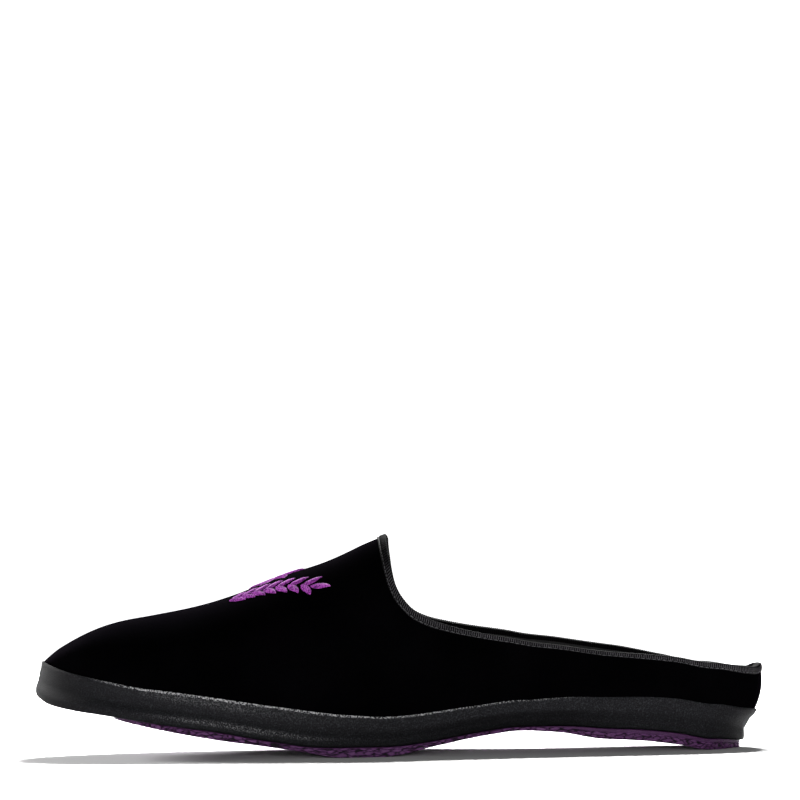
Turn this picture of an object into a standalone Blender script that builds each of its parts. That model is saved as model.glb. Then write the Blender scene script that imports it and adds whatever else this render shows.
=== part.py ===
"""A low slip-on mule: velvet upper, ribbed collar binding, insole, rubber band sole and outsole.

A left shoe. The toe points to -X, the heel to +X, the outer (lateral) side is -Y and +Z is up. The origin lies
on the floor under the middle of the shoe. Every piece is worked out from the same stations along the foot, so
that neighbours run parallel to each other.
"""

import bmesh
import bpy
import numpy as np
from mathutils import Matrix

# Driving dimensions, in metres
LENGTH = 0.285  # toe to heel over the widest points of sole and collar
BALL_WIDTH = 0.094  # across the upper at the ball of the foot
HEEL_WIDTH = 0.060  # across the upper at the heel seat
TOE_SPRING = 0.0238  # how high the tread line rises at the toe
ARCH_RISE = 0.0087  # how high the tread line rises at the waist
OUTSOLE_THICKNESS = 0.0062  # tread at the back of the heel
BAND_HEIGHT = 0.0130  # rubber band, lower edge to upper edge
BAND_EDGE = 0.0005  # width of the band's upper edge
BAND_LIP = 0.0013  # how far the band's lower lip stands out
BAND_UNDERCUT = 0.0050  # how far the band turns in under the back of the heel
FLOOR = 0.0042  # floor of the cup sole
VAMP_RISE = 0.0687  # vamp above the band at the throat
QUARTER_RISE = 0.0154  # quarters above the band at the heel
MEDIAL_RISE = 0.0026  # how much higher the collar is on the inner side
HEEL_PEAK = 0.0016  # small rise of the rim at the centre back
RIDGE_SWAY = 0.0080  # how far the ridge lies to the inner side at the toe
HEEL_LEAN = 0.0043  # how far the heel of the upper swells out over the band
UPPER_WALL = 0.0020
BINDING_WIDTH = 0.0036  # ribbon below the rim, at the throat
BINDING_THICKNESS = 0.0006
INSOLE_THICKNESS = 0.0040
GAP = 0.0003  # clearance between neighbouring pieces

# Shape choices, as shares or exponents
TOE_SETBACK = 0.0092  # the upper's toe lies behind the sole's, as a share of the length
HEEL_SETBACK = 0.0170
TOE_CAP = 0.32  # share of the length over which the outline closes at the toe
HEEL_CAP = 0.15
HEEL_PEAK_REACH = 0.03  # how far forward the peak of the rim reaches, as a share of the heel's width
CAP_POWER = 2.2
ARCH_POWER = 2.2  # squareness of a section across the vamp, towards its sides
TIP_FULLNESS = 1.05  # fullness of the sections at the tip, behind the toe and at the instep
TOE_FULLNESS = 2.2
INSTEP_FULLNESS = 1.55
TIP_REACH = 0.065  # the tip's flatter slope ends here, as a share of the length
FAN_EVEN = 0.35  # how evenly the ribs fan out from the throat
FAN_END = 0.62  # behind this share of the length the ribs stand upright
LEAN_POWER = 2.0  # the band's side turns in late along the sides
LEAN_DEPTH = 0.6  # and over this share of its height round the toe and the heel
TOE_TURN = 0.08  # length of the round toe, as a share
HEEL_SWELL = (0.88, 0.98)  # the round of the heel swells out and tapers in between these shares
SWELL_SHARES = (0.3, 0.7)  # shares of HEEL_LEAN along the quarters and round the heel
QUARTER_BLEND = 0.2  # length over which the quarters begin to lean out, as a share
STATIONS = 38  # ribs on each side of the shoe, toe to heel
VAMP_LEVELS = 9  # rings of the upper between the band and the binding
LEVEL_SPREAD = 1.5  # more than 1 sets the rings closer together near the band

# The sole along the foot: tread line as a share of TOE_SPRING in front of the ball and of ARCH_RISE behind it,
# thickness of the tread as a share of OUTSOLE_THICKNESS, and height of the band as a share of BAND_HEIGHT
SOLE = (
    # along, tread, outsole, band
    (0.000, 1.000, 0.215, 0.945),
    (0.010, 0.935, 0.215, 1.035),
    (0.030, 0.800, 0.215, 1.130),
    (0.060, 0.714, 0.215, 1.085),
    (0.100, 0.643, 0.215, 1.015),
    (0.150, 0.538, 0.247, 0.970),
    (0.205, 0.412, 0.360, 0.985),
    (0.260, 0.298, 0.440, 0.977),
    (0.312, 0.210, 0.328, 1.008),
    (0.365, 0.113, 0.296, 1.030),
    (0.427, 0.000, 0.586, 0.922),
    (0.470, 0.000, 0.575, 0.862),
    (0.550, 0.460, 0.280, 0.830),
    (0.604, 0.793, 0.231, 0.777),
    (0.660, 1.000, 0.215, 0.769),
    (0.710, 0.908, 0.360, 0.815),
    (0.766, 0.598, 0.618, 0.892),
    (0.820, 0.483, 0.640, 0.945),
    (0.870, 0.276, 0.672, 0.992),
    (0.920, 0.000, 0.655, 1.007),
    (0.962, 0.000, 0.455, 0.958),
    (1.000, 0.000, 0.420, 0.862),
)
BALL_FLAT = (0.427, 0.470)  # the tread lies flat on the floor between these shares of the length
HEEL_FLAT = (0.920, 0.962)

# Plan of the upper at the band: reach to each side as a share of the local width, and the line of the ridge as a
# share of RIDGE_SWAY
PLAN = (
    # along, lateral, medial, ridge
    (0.00, 0.517, 0.482, 1.00),
    (0.12, 0.517, 0.482, 0.81),
    (0.29, 0.517, 0.497, 0.44),
    (0.38, 0.517, 0.487, 0.31),
    (0.46, 0.523, 0.443, 0.25),
    (0.54, 0.539, 0.409, 0.19),
    (0.65, 0.536, 0.415, 0.12),
    (0.75, 0.543, 0.474, 0.00),
    (0.86, 0.519, 0.501, 0.00),
    (1.00, 0.516, 0.506, 0.00),
)
WIDTH_BLEND = (0.34, 0.80)  # the local width passes from ball to heel between these shares

# Ridge of the upper above the band, as a share of VAMP_RISE; behind the throat it is the open instep's line
RIDGE = (
    # along from the upper's toe, rise
    (0.000, 0.000),
    (0.003, 0.018),
    (0.006, 0.033),
    (0.012, 0.063),
    (0.020, 0.100),
    (0.030, 0.139),
    (0.045, 0.192),
    (0.065, 0.252),
    (0.090, 0.312),
    (0.120, 0.367),
    (0.155, 0.415),
    (0.190, 0.459),
    (0.225, 0.512),
    (0.260, 0.577),
    (0.300, 0.665),
    (0.340, 0.749),
    (0.380, 0.829),
    (0.420, 0.918),
    (0.445, 0.972),
    (0.472, 1.000),
    (0.560, 1.110),
    (0.700, 1.180),
    (1.000, 1.200),
)

# Rim of the upper from the throat's peak to the heel, as seen from the side: 1 is the height of the vamp at the
# throat and 0 that of the quarters
TOPLINE = (
    # along, height
    (0.4815, 1.000),
    (0.4828, 0.949),
    (0.4852, 0.863),
    (0.4876, 0.778),
    (0.4925, 0.662),
    (0.4985, 0.585),
    (0.5080, 0.508),
    (0.5200, 0.436),
    (0.5400, 0.362),
    (0.5670, 0.294),
    (0.6000, 0.228),
    (0.6470, 0.150),
    (0.7000, 0.089),
    (0.7680, 0.034),
    (0.8500, 0.005),
    (0.9200, 0.000),
    (0.9620, 0.003),
    (1.0000, 0.016),
)
MEDIAL_BUMP = ((0.50, 0.0), (0.58, 0.7), (0.65, 1.0), (0.75, 0.9), (0.86, 0.0), (1.0, 0.0))  # along, rise

# Side of the band: height from its lower edge, and how far it stands out as a share of BAND_LIP
BAND_SIDE = (
    # height, out
    (0.94, 0.20),
    (0.60, -0.10),
    (0.42, 0.12),
    (0.22, 1.00),
    (0.08, 0.75),
)
BAND_FOOT_IN = 0.0008  # how far the lower edge lies inside the band's upper edge

# How far the band's foot leans in (negative) or out, as a share of BAND_UNDERCUT, and how much of BAND_LIP is left
BAND_LEAN = (
    # along, lateral, medial, lip
    (0.00, 0.40, 0.40, 0.55),
    (0.04, 0.28, 0.28, 0.80),
    (0.10, 0.16, 0.16, 1.00),
    (0.30, 0.00, 0.00, 1.00),
    (0.50, -0.13, -0.23, 1.00),
    (0.65, -0.48, -0.65, 0.70),
    (0.78, -0.24, -0.34, 0.80),
    (0.90, -0.28, -0.28, 0.60),
    (0.97, -0.60, -0.60, 0.20),
    (1.00, -0.94, -0.94, 0.00),
)
OUTSOLE_ENDS = (0.105, 0.965)  # front and back of the tread, as shares of the length
OUTSOLE_FRONT_CAP = 0.10
OUTSOLE_BACK_CAP = 0.085
OUTSOLE_INSET = 0.0009
SKIRT_SLOPE = (0.15, 0.62)  # how far the upper turns in below the band's edge per unit of depth: sides, heel

MATERIALS = {
    # name: colour, roughness, metallic
    "velvet": ((0.004, 0.004, 0.005), 0.95, 0.0),
    "ribbon": ((0.030, 0.030, 0.033), 0.70, 0.0),
    "lining": ((0.012, 0.012, 0.013), 0.60, 0.0),
    "band_rubber": ((0.020, 0.021, 0.023), 0.55, 0.0),
    "purple_rubber": ((0.065, 0.035, 0.075), 0.60, 0.0),
}


def monotone(rows, column, at):
    """Reads one column of a table at any place, on a smooth curve that never overshoots its rows."""
    xs = np.array([row[0] for row in rows])
    ys = np.array([row[column] for row in rows])
    at = np.clip(np.asarray(at, dtype=float), xs[0], xs[-1])
    step = np.diff(xs)
    slope = np.diff(ys) / step
    tangent = np.zeros(len(xs))
    tangent[0], tangent[-1] = slope[0], slope[-1]
    for i in range(1, len(xs) - 1):
        if slope[i - 1] * slope[i] > 0:
            before = 2 * step[i] + step[i - 1]
            after = step[i] + 2 * step[i - 1]
            tangent[i] = (before + after) / (before / slope[i - 1] + after / slope[i])
    i = np.clip(np.searchsorted(xs, at, side="right") - 1, 0, len(step) - 1)
    t = (at - xs[i]) / step[i]
    return (
        ys[i] * (1 + 2 * t) * (1 - t) ** 2
        + tangent[i] * step[i] * t * (1 - t) ** 2
        + ys[i + 1] * t * t * (3 - 2 * t)
        + tangent[i + 1] * step[i] * t * t * (t - 1)
    )


def ease(t):
    t = np.clip(t, 0.0, 1.0)
    return t * t * (3 - 2 * t)


def share(x):
    """Place along the shoe, 0 at the toe and 1 at the heel."""
    return x / LENGTH + 0.5


def place(along):
    return (along - 0.5) * LENGTH


def cap(t):
    """Rounded end of an outline: 0 at the tip, 1 from t = 1 on."""
    t = np.clip(t, 0.0, 1.0)
    return (1 - (1 - t) ** CAP_POWER) ** (1 / CAP_POWER)


# Sole lines

def tread_height(x):
    along = share(x)
    rise = np.where(along < BALL_FLAT[1], TOE_SPRING, ARCH_RISE)
    return monotone(SOLE, 1, along) * rise


def band_foot(x):
    return tread_height(x) + monotone(SOLE, 2, share(x)) * OUTSOLE_THICKNESS + GAP


def band_top(x):
    return band_foot(x) + monotone(SOLE, 3, share(x)) * BAND_HEIGHT


def cup_floor(x):
    return band_foot(x) + FLOOR


# Plan of the upper where it leaves the band

TOE = place(TOE_SETBACK)
HEEL = place(1 - HEEL_SETBACK)
HEEL_CENTRE = HEEL - HEEL_CAP * LENGTH


def ridge_line(x):
    return monotone(PLAN, 3, share(x)) * RIDGE_SWAY


def outline(x, side):
    """Across-place of the upper's foot; side is -1 for lateral and 1 for medial."""
    along = share(x)
    blend = ease((along - WIDTH_BLEND[0]) / (WIDTH_BLEND[1] - WIDTH_BLEND[0]))
    width = BALL_WIDTH + (HEEL_WIDTH - BALL_WIDTH) * blend
    reach = monotone(PLAN, 1 if side < 0 else 2, along) * width
    closing = cap((x - TOE) / (TOE_CAP * LENGTH)) * cap((HEEL - x) / (HEEL_CAP * LENGTH))
    return ridge_line(x) + side * reach * closing


def even_stations():
    """Places along the shoe that are evenly spaced round the lateral outline, with rows at the flat spots."""
    turn = np.linspace(0, np.pi, 4001)
    x = TOE + (HEEL - TOE) * (1 - np.cos(turn)) / 2
    y = outline(x, -1)
    run = np.concatenate([[0], np.cumsum(np.hypot(np.diff(x), np.diff(y)))])
    stations = np.interp(np.linspace(0, run[-1], STATIONS + 1), run, x)
    for edge in BALL_FLAT + HEEL_FLAT:
        nearest = np.argmin(np.abs(stations - place(edge)))
        stations[nearest] = place(edge)
    return stations


STATION_X = even_stations()


def outline_normal(x, side):
    """Outward direction of the outline in plan."""
    if x <= TOE:
        return np.array([-1.0, 0.0])
    if x >= HEEL:
        return np.array([1.0, 0.0])
    ahead = min(HEEL, x + LENGTH * 0.0005)
    behind = max(TOE, x - LENGTH * 0.0005)
    along = np.array([ahead - behind, float(outline(ahead, side) - outline(behind, side))])
    along /= np.hypot(*along)
    return np.array([along[1], -along[0]]) * (1.0 if side < 0 else -1.0)


def loop_stations():
    """Once round the shoe: toe tip, lateral side to the heel tip, and medial side back."""
    lateral = [(x, -1) for x in STATION_X]
    medial = [(x, 1) for x in STATION_X[-2:0:-1]]
    return lateral + medial


# Surface of the upper above the band

def ridge_rise(x):
    """Height of the ridge above the band; the square root keeps the blunt toe round."""
    rows = [(np.sqrt(along), rise) for along, rise in RIDGE]
    along = np.clip((x - TOE) / LENGTH, 0, 1)
    return VAMP_RISE * monotone(rows, 1, np.sqrt(along))


def fullness(x):
    """How boxy a section is: 1 has straight flanks, and more stands up steeply from the band."""
    vamp = TOE_FULLNESS + (INSTEP_FULLNESS - TOE_FULLNESS) * ease(share(x) / TOPLINE[0][0])
    return TIP_FULLNESS + (vamp - TIP_FULLNESS) * ease((x - TOE) / (TIP_REACH * LENGTH))


def arch_height(x, across):
    """Height above the floor of a section across the vamp; across is 0 at the ridge and 1 at the band."""
    flank = np.clip(1 - np.clip(across, 0, 1) ** ARCH_POWER, 0, 1)
    return band_top(x) + ridge_rise(x) * flank ** (1 / fullness(x))


def arch_across(x, height):
    """The opposite: how far out a section reaches at a height."""
    part = np.clip((height - band_top(x)) / ridge_rise(x), 0, 1)
    return (1 - part ** fullness(x)) ** (1 / ARCH_POWER)


def heel_part(x):
    """0 along the quarters, 1 round the back of the heel."""
    start, end = HEEL_SWELL
    return ease((share(x) - start) / (end - start))


def across_share(x, y, side):
    ridge = ridge_line(x)
    return (y - ridge) / (outline(x, side) - ridge)


def rim_height(x, side):
    """Height of the rim behind the throat."""
    along = share(x)
    height = monotone(TOPLINE, 1, along)
    extra = MEDIAL_RISE * monotone(MEDIAL_BUMP, 1, along) if side > 0 else 0.0
    back = (HEEL - x) / (HEEL_PEAK_REACH * HEEL_WIDTH)
    rise = QUARTER_RISE + (VAMP_RISE - QUARTER_RISE) * height
    return band_top(x) + rise + extra + HEEL_PEAK * np.exp(-(back**2))


def throat_curve(side):
    """The rim from the throat's peak to the end of the fan, evenly dense: plan place and height."""
    peak = TOPLINE[0][0]
    count = 600
    row = np.linspace(0, 1, count) ** 2 * (len(TOPLINE) - 1)
    index = [(i,) + TOPLINE[i] for i in range(len(TOPLINE))]
    x = place(monotone(index, 1, row))
    x = x[x <= place(FAN_END)]
    row = row[: len(x)]
    height = band_top(x) + QUARTER_RISE + (VAMP_RISE - QUARTER_RISE) * monotone(index, 2, row)
    if side > 0:
        height = height + MEDIAL_RISE * monotone(MEDIAL_BUMP, 1, share(x))
    across = arch_across(x, height)
    across[share(x) <= peak] = 0.0
    y = ridge_line(x) + across * (outline(x, side) - ridge_line(x))
    return np.stack([x, y, height], axis=1)


def run_length(points):
    return np.concatenate([[0], np.cumsum(np.linalg.norm(np.diff(points, axis=0), axis=1))])


def fan_end_run(side):
    """Length of the foot line from the toe tip to the end of the fan."""
    turn = np.linspace(0, np.pi, 2001)
    x = TOE + (place(FAN_END) - TOE) * (1 - np.cos(turn)) / 2
    return x, run_length(np.stack([x, outline(x, side)], axis=1))


def collar_point(x, side):
    """Where the rib that starts at a station ends: a point on the throat or on the rim above it."""
    if x >= place(FAN_END):
        return None
    foot_x, foot_run = fan_end_run(side)
    part = np.interp(x, foot_x, foot_run) / foot_run[-1]
    part = FAN_EVEN * part + (1 - FAN_EVEN) * part**3
    rim = throat_curve(side)
    run = run_length(rim)
    return np.array([np.interp(part * run[-1], run, rim[:, i]) for i in range(3)])


def rib_path(x, side, count=240):
    """Outer face of the upper along one rib, from the band to the rim, as a fine line of points."""
    foot = np.array([x, float(outline(x, side))])
    rim = collar_point(x, side)
    step = np.linspace(0, 1, count)
    if rim is not None:
        part = step**3
        plan = foot + (rim[:2] - foot) * part[:, None]
        across = np.ones(count)
        if x > TOE:
            across[1:] = across_share(plan[1:, 0], plan[1:, 1], side)
        else:
            across[1:] = 0.0
        height = arch_height(plan[:, 0], across)
        height[0] = band_top(x)
        points = np.column_stack([plan, height])
        out = np.zeros(2)
        lean = 0.0
    else:
        centre = np.array([min(x, HEEL_CENTRE), float(ridge_line(min(x, HEEL_CENTRE)))])
        top = float(rim_height(x, side))
        height = band_top(x) + (top - band_top(x)) * step
        part = np.clip((height - band_top(x)) / ridge_rise(min(x, HEEL_CENTRE)), 0, 1)
        across = (1 - part ** fullness(x)) ** (1 / ARCH_POWER)
        plan = centre + (foot - centre) * across[:, None]
        points = np.column_stack([plan, height])
        out = outline_normal(x, side)
        quarters, heel = SWELL_SHARES
        lean = HEEL_LEAN * (quarters * ease((share(x) - FAN_END) / QUARTER_BLEND) + heel * heel_part(x))
    rise = np.clip((points[:, 2] - points[0, 2]) / QUARTER_RISE, 0, 1)
    points[:, :2] += out * (lean * rise * (2 - rise))[:, None]
    return points


def skirt_in(x):
    """How far the wall below the band's edge turns in per unit of depth."""
    sides, heel = SKIRT_SLOPE
    return sides + (heel - sides) * heel_part(x)


def binding_width(x):
    return BINDING_WIDTH * (1 - 0.25 * ease(share(x) / FAN_END))


def upper_grid():
    """Points of the upper's outer face: one row for each level from its foot to its rim."""
    rows = []
    for x, side in loop_stations():
        path = rib_path(x, side)
        run = run_length(path)
        below = run[-1] - binding_width(x)
        marks = np.append(below * np.linspace(0, 1, VAMP_LEVELS + 1) ** LEVEL_SPREAD, run[-1])
        rib = np.column_stack([np.interp(marks, run, path[:, i]) for i in range(3)])
        depth = rib[0, 2] - (cup_floor(x) + GAP)
        foot = rib[0].copy()
        foot[:2] -= outline_normal(x, side) * skirt_in(x) * depth
        foot[2] = cup_floor(foot[0]) + GAP
        rows.append(np.vstack([foot, rib]))
    return np.array(rows).transpose(1, 0, 2)


def grid_normals(grid):
    """Outward normals of a grid whose rows are closed loops."""
    round_way = np.roll(grid, -1, axis=1) - np.roll(grid, 1, axis=1)
    up_way = np.gradient(grid, axis=0)
    normal = np.cross(round_way, up_way)
    normal /= np.linalg.norm(normal, axis=2, keepdims=True)
    middle = grid[0].mean(axis=0)
    if np.sum(normal[0] * (grid[0] - middle)) < 0:
        normal = -normal
    return normal


OUTER = upper_grid()
NORMAL = grid_normals(OUTER)
PLAN_NORMAL = np.array([outline_normal(x, side) for x, side in loop_stations()])


def beside(ring, distance):
    """A ring moved level, away from the shoe's middle."""
    moved = ring.copy()
    moved[:, :2] += PLAN_NORMAL * np.reshape(distance, (-1, 1))
    return moved


# Meshes

def material(name):
    colour, roughness, metallic = MATERIALS[name]
    made = bpy.data.materials.new(name)
    made.use_nodes = True
    shader = made.node_tree.nodes["Principled BSDF"]
    shader.inputs["Base Color"].default_value = (*colour, 1.0)
    shader.inputs["Roughness"].default_value = roughness
    shader.inputs["Metallic"].default_value = metallic
    made.diffuse_color = (*colour, 1.0)
    return made


def add_object(name, bm, finish):
    bmesh.ops.recalc_face_normals(bm, faces=bm.faces)
    mesh = bpy.data.meshes.new(name)
    bm.to_mesh(mesh)
    bm.free()
    mesh.shade_smooth()
    mesh.set_sharp_from_angle(angle=np.radians(40))
    mesh.materials.append(material(finish))
    piece = bpy.data.objects.new(name, mesh)
    bpy.context.scene.collection.objects.link(piece)
    return piece


def add_rings(bm, rings):
    """Adds closed rings of vertices with faces between neighbours."""
    loops = [[bm.verts.new(point) for point in ring] for ring in rings]
    for low, high in zip(loops, loops[1:]):
        join_rings(bm, low, high)
    return loops


def join_rings(bm, low, high):
    count = len(low)
    for i in range(count):
        j = (i + 1) % count
        bm.faces.new((low[i], low[j], high[j], high[i]))


def cover(bm, loop, height):
    """Closes a ring with a ladder of faces from side to side; height gives its level at a place."""
    half = len(loop) // 2
    spine = []
    for k in range(1, half):
        middle = (loop[k].co + loop[-k].co) / 2
        spine.append(bm.verts.new((middle.x, middle.y, float(height(middle.x)))))
    for side in (loop, [loop[0]] + loop[:0:-1]):
        bm.faces.new((side[0], side[1], spine[0]))
        for k in range(1, half - 1):
            bm.faces.new((side[k], side[k + 1], spine[k], spine[k - 1]))
        bm.faces.new((side[half - 1], side[half], spine[-1]))


def make_upper():
    bm = bmesh.new()
    inner = OUTER - NORMAL * UPPER_WALL
    inner[0] = beside(OUTER[0], -UPPER_WALL)
    inner[1] = beside(OUTER[1], -UPPER_WALL)
    loops = add_rings(bm, list(OUTER) + list(inner[::-1]))
    join_rings(bm, loops[-1], loops[0])
    return add_object("upper", bm, "velvet")


def make_binding():
    """Ribbon folded over the rim: an outer and an inner leg and a rounded crown."""
    rim, below = OUTER[-1], OUTER[-2]
    out = NORMAL[-1]
    out_below = NORMAL[-2]
    up = rim - below
    up /= np.linalg.norm(up, axis=1, keepdims=True)
    near = GAP
    far = GAP + BINDING_THICKNESS
    rings = [
        below + out_below * far,
        rim + out * far,
        rim + out * far * 0.5 + up * far * 0.9,
        rim - out * UPPER_WALL / 2 + up * far * 1.15,
        rim - out * (UPPER_WALL + far * 0.5) + up * far * 0.9,
        rim - out * (UPPER_WALL + far),
        below - out_below * (UPPER_WALL + far),
        below - out_below * (UPPER_WALL + near),
        rim - out * (UPPER_WALL + near) + up * near,
        rim + out * near + up * near,
        below + out_below * near,
    ]
    bm = bmesh.new()
    loops = add_rings(bm, rings)
    join_rings(bm, loops[-1], loops[0])
    return add_object("collar_binding", bm, "ribbon")


def set_height(ring, height):
    ring = ring.copy()
    ring[:, 2] = height(ring[:, 0])
    return ring


def make_insole():
    foot = beside(OUTER[0], -(UPPER_WALL + GAP))

    def under(x):
        return cup_floor(x) + GAP

    def over(x):
        return cup_floor(x) + GAP + INSOLE_THICKNESS

    bottom = set_height(foot, under)
    top = set_height(foot, over)
    edge = beside(top, -INSOLE_THICKNESS * 0.15)
    top[:, 2] -= INSOLE_THICKNESS * 0.15
    bm = bmesh.new()
    loops = add_rings(bm, [bottom, top, edge])
    cover(bm, loops[0], under)
    cover(bm, loops[-1], over)
    return add_object("insole", bm, "lining")


def lean_share(height, along):
    """How much of the band's lean is reached at a height: late along the sides, early at the round ends."""
    down = np.clip(1 - height, 0, 1)
    start, end = HEEL_SWELL
    round_end = np.maximum(1 - ease(along / TOE_TURN), ease((along - start) / (end - start)))
    return (1 - round_end) * down**LEAN_POWER + round_end * ease(down / LEAN_DEPTH)


def band_rings():
    """Outer side of the cup sole from its upper edge down to its foot."""
    edge = beside(OUTER[1], GAP + BAND_EDGE)
    along = share(edge[:, 0])
    sides = np.array([side for _, side in loop_stations()])
    lean = np.where(sides < 0, monotone(BAND_LEAN, 1, along), monotone(BAND_LEAN, 2, along)) * BAND_UNDERCUT
    stations = np.array([x for x, _ in loop_stations()])
    top, foot = band_top(stations), band_foot(stations)
    lip = monotone(BAND_LEAN, 3, along) * BAND_LIP
    rings = [edge]
    for height, out in BAND_SIDE:
        ring = beside(edge, out * lip + lean * lean_share(height, along))
        ring[:, 2] = foot + (top - foot) * height
        rings.append(ring)
    rings.append(set_height(beside(edge, lean - BAND_FOOT_IN), band_foot))
    return rings


BAND_RINGS = band_rings()


def make_band():
    recess_foot = set_height(beside(OUTER[0], GAP), cup_floor)
    recess_top = beside(OUTER[1], GAP)
    bm = bmesh.new()
    loops = add_rings(bm, [recess_foot, recess_top] + BAND_RINGS)
    cover(bm, loops[0], cup_floor)
    cover(bm, loops[-1], band_foot)
    return add_object("sole_band", bm, "band_rubber")


def outsole_outline():
    """Ring of plan places inside the band's foot, with its own round ends."""
    foot = BAND_RINGS[-1]
    half = len(foot) // 2
    lateral = foot[: half + 1]
    medial = np.vstack([foot[:1], foot[:half - 1:-1]])
    front, back = place(OUTSOLE_ENDS[0]), place(OUTSOLE_ENDS[1])
    turn = np.linspace(0, np.pi, STATIONS + 1)
    x = front + (back - front) * (0.6 * (1 - np.cos(turn)) / 2 + 0.4 * turn / np.pi)
    for mark in BALL_FLAT + HEEL_FLAT:
        x[np.argmin(np.abs(x - place(mark)))] = place(mark)
    closing = cap((x - front) / (OUTSOLE_FRONT_CAP * LENGTH)) * cap((back - x) / (OUTSOLE_BACK_CAP * LENGTH))
    sides = []
    for edge, way in ((lateral, 1), (medial, -1)):
        order = np.argsort(edge[:, 0])
        y = np.interp(x, edge[order, 0], edge[order, 1]) + way * OUTSOLE_INSET
        middle = ridge_line(x)
        sides.append(middle + (y - middle) * closing)
    ring = [(x[k], sides[0][k]) for k in range(len(x))]
    ring += [(x[k], sides[1][k]) for k in range(len(x) - 2, 0, -1)]
    return np.column_stack([np.array(ring), np.zeros(len(ring))])


def make_outsole():
    ring = outsole_outline()

    def over(x):
        return band_foot(x) - GAP

    top = set_height(ring, over)
    bottom = set_height(ring, tread_height)
    bm = bmesh.new()
    loops = add_rings(bm, [top, bottom])
    cover(bm, loops[0], over)
    cover(bm, loops[-1], tread_height)
    return add_object("outsole", bm, "purple_rubber")


def stand_on_origin(pieces):
    """Moves the shoe level, so that the middle of its box stands over the origin."""
    places = np.array([vertex.co for piece in pieces for vertex in piece.data.vertices])
    middle = (places.min(axis=0) + places.max(axis=0)) / 2
    for piece in pieces:
        piece.data.transform(Matrix.Translation((-middle[0], -middle[1], 0.0)))


for old in list(bpy.data.objects):
    bpy.data.objects.remove(old, do_unlink=True)

stand_on_origin([make_outsole(), make_band(), make_insole(), make_upper(), make_binding()])
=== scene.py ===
"""Looks of a left slip-on mule: black velvet, ribbed ribbon, pebbled rubber band and crinkled purple tread.

Metres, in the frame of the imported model: toe to -X, lateral side to -Y, +Z up.
"""

import math

import bmesh
import bpy
import numpy as np
from mathutils import Matrix, Vector, noise


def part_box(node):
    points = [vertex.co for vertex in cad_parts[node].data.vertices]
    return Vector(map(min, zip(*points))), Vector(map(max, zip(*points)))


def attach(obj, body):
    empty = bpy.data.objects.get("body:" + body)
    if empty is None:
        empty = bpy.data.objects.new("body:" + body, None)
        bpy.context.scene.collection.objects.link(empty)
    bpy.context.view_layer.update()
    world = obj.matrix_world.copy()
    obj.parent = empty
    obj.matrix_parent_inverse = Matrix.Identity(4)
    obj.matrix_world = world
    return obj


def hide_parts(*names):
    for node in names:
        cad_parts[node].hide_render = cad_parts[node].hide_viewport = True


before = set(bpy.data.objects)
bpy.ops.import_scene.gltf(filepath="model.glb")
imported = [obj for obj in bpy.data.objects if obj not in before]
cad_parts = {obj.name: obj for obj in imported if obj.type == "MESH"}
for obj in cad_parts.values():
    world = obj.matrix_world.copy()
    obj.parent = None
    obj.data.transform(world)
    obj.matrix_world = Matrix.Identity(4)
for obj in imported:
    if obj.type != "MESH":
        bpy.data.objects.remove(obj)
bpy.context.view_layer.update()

# Upper: vamp and low quarters of black velvet over a stiffener, lined inside, drawn over the last and stuck
# down inside the rubber band. Its lines start from the sole's, so the sole's table stands here: tread line,
# tread thickness and band height along the foot. The ribs fan out from the throat and stand upright behind it.
LENGTH = 0.285
BALL_WIDTH = 0.094
HEEL_WIDTH = 0.060
TOE_SPRING = 0.0238
ARCH_RISE = 0.0087
OUTSOLE_THICKNESS = 0.0062
BAND_HEIGHT = 0.0130
FLOOR = 0.0042  # floor of the cup sole
VAMP_RISE = 0.0687
QUARTER_RISE = 0.0154
MEDIAL_RISE = 0.0031
HEEL_PEAK = 0.0016
RIDGE_SWAY = 0.0080
HEEL_LEAN = 0.0043
UPPER_WALL = 0.0020
GAP = 0.0003
TOE_SETBACK = 0.0092
HEEL_SETBACK = 0.0170
TOE_CAP = 0.32
HEEL_CAP = 0.15
HEEL_PEAK_REACH = 0.03
CAP_POWER = 2.2
ARCH_POWER = 2.2
TIP_FULLNESS = 1.05
TOE_FULLNESS = 2.2
INSTEP_FULLNESS = 1.55
TIP_REACH = 0.065
FAN_EVEN = 0.35
FAN_END = 0.62
LEVEL_SPREAD = 1.5
HEEL_SWELL = (0.88, 0.98)
SWELL_SHARES = (0.3, 0.7)
QUARTER_BLEND = 0.2
SKIRT_SLOPE = (0.15, 0.62)
WIDTH_BLEND = (0.34, 0.80)
RIBS = 240  # ribs on each side, toe to heel
LEVELS = 56  # rings between the band and the binding
SOLE = (
    # along, tread, outsole, band
    (0.000, 1.000, 0.215, 0.945),
    (0.010, 0.935, 0.215, 1.035),
    (0.030, 0.800, 0.215, 1.130),
    (0.060, 0.714, 0.215, 1.085),
    (0.100, 0.643, 0.215, 1.015),
    (0.150, 0.538, 0.247, 0.970),
    (0.205, 0.412, 0.360, 0.985),
    (0.260, 0.298, 0.440, 0.977),
    (0.312, 0.210, 0.328, 1.008),
    (0.365, 0.113, 0.296, 1.030),
    (0.427, 0.000, 0.586, 0.922),
    (0.470, 0.000, 0.575, 0.862),
    (0.550, 0.460, 0.280, 0.830),
    (0.604, 0.793, 0.231, 0.777),
    (0.660, 1.000, 0.215, 0.769),
    (0.710, 0.908, 0.360, 0.815),
    (0.766, 0.598, 0.618, 0.892),
    (0.820, 0.483, 0.640, 0.945),
    (0.870, 0.276, 0.672, 0.992),
    (0.920, 0.000, 0.655, 1.007),
    (0.962, 0.000, 0.455, 0.958),
    (1.000, 0.000, 0.420, 0.862),
)
BALL_REAR = 0.470
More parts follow.
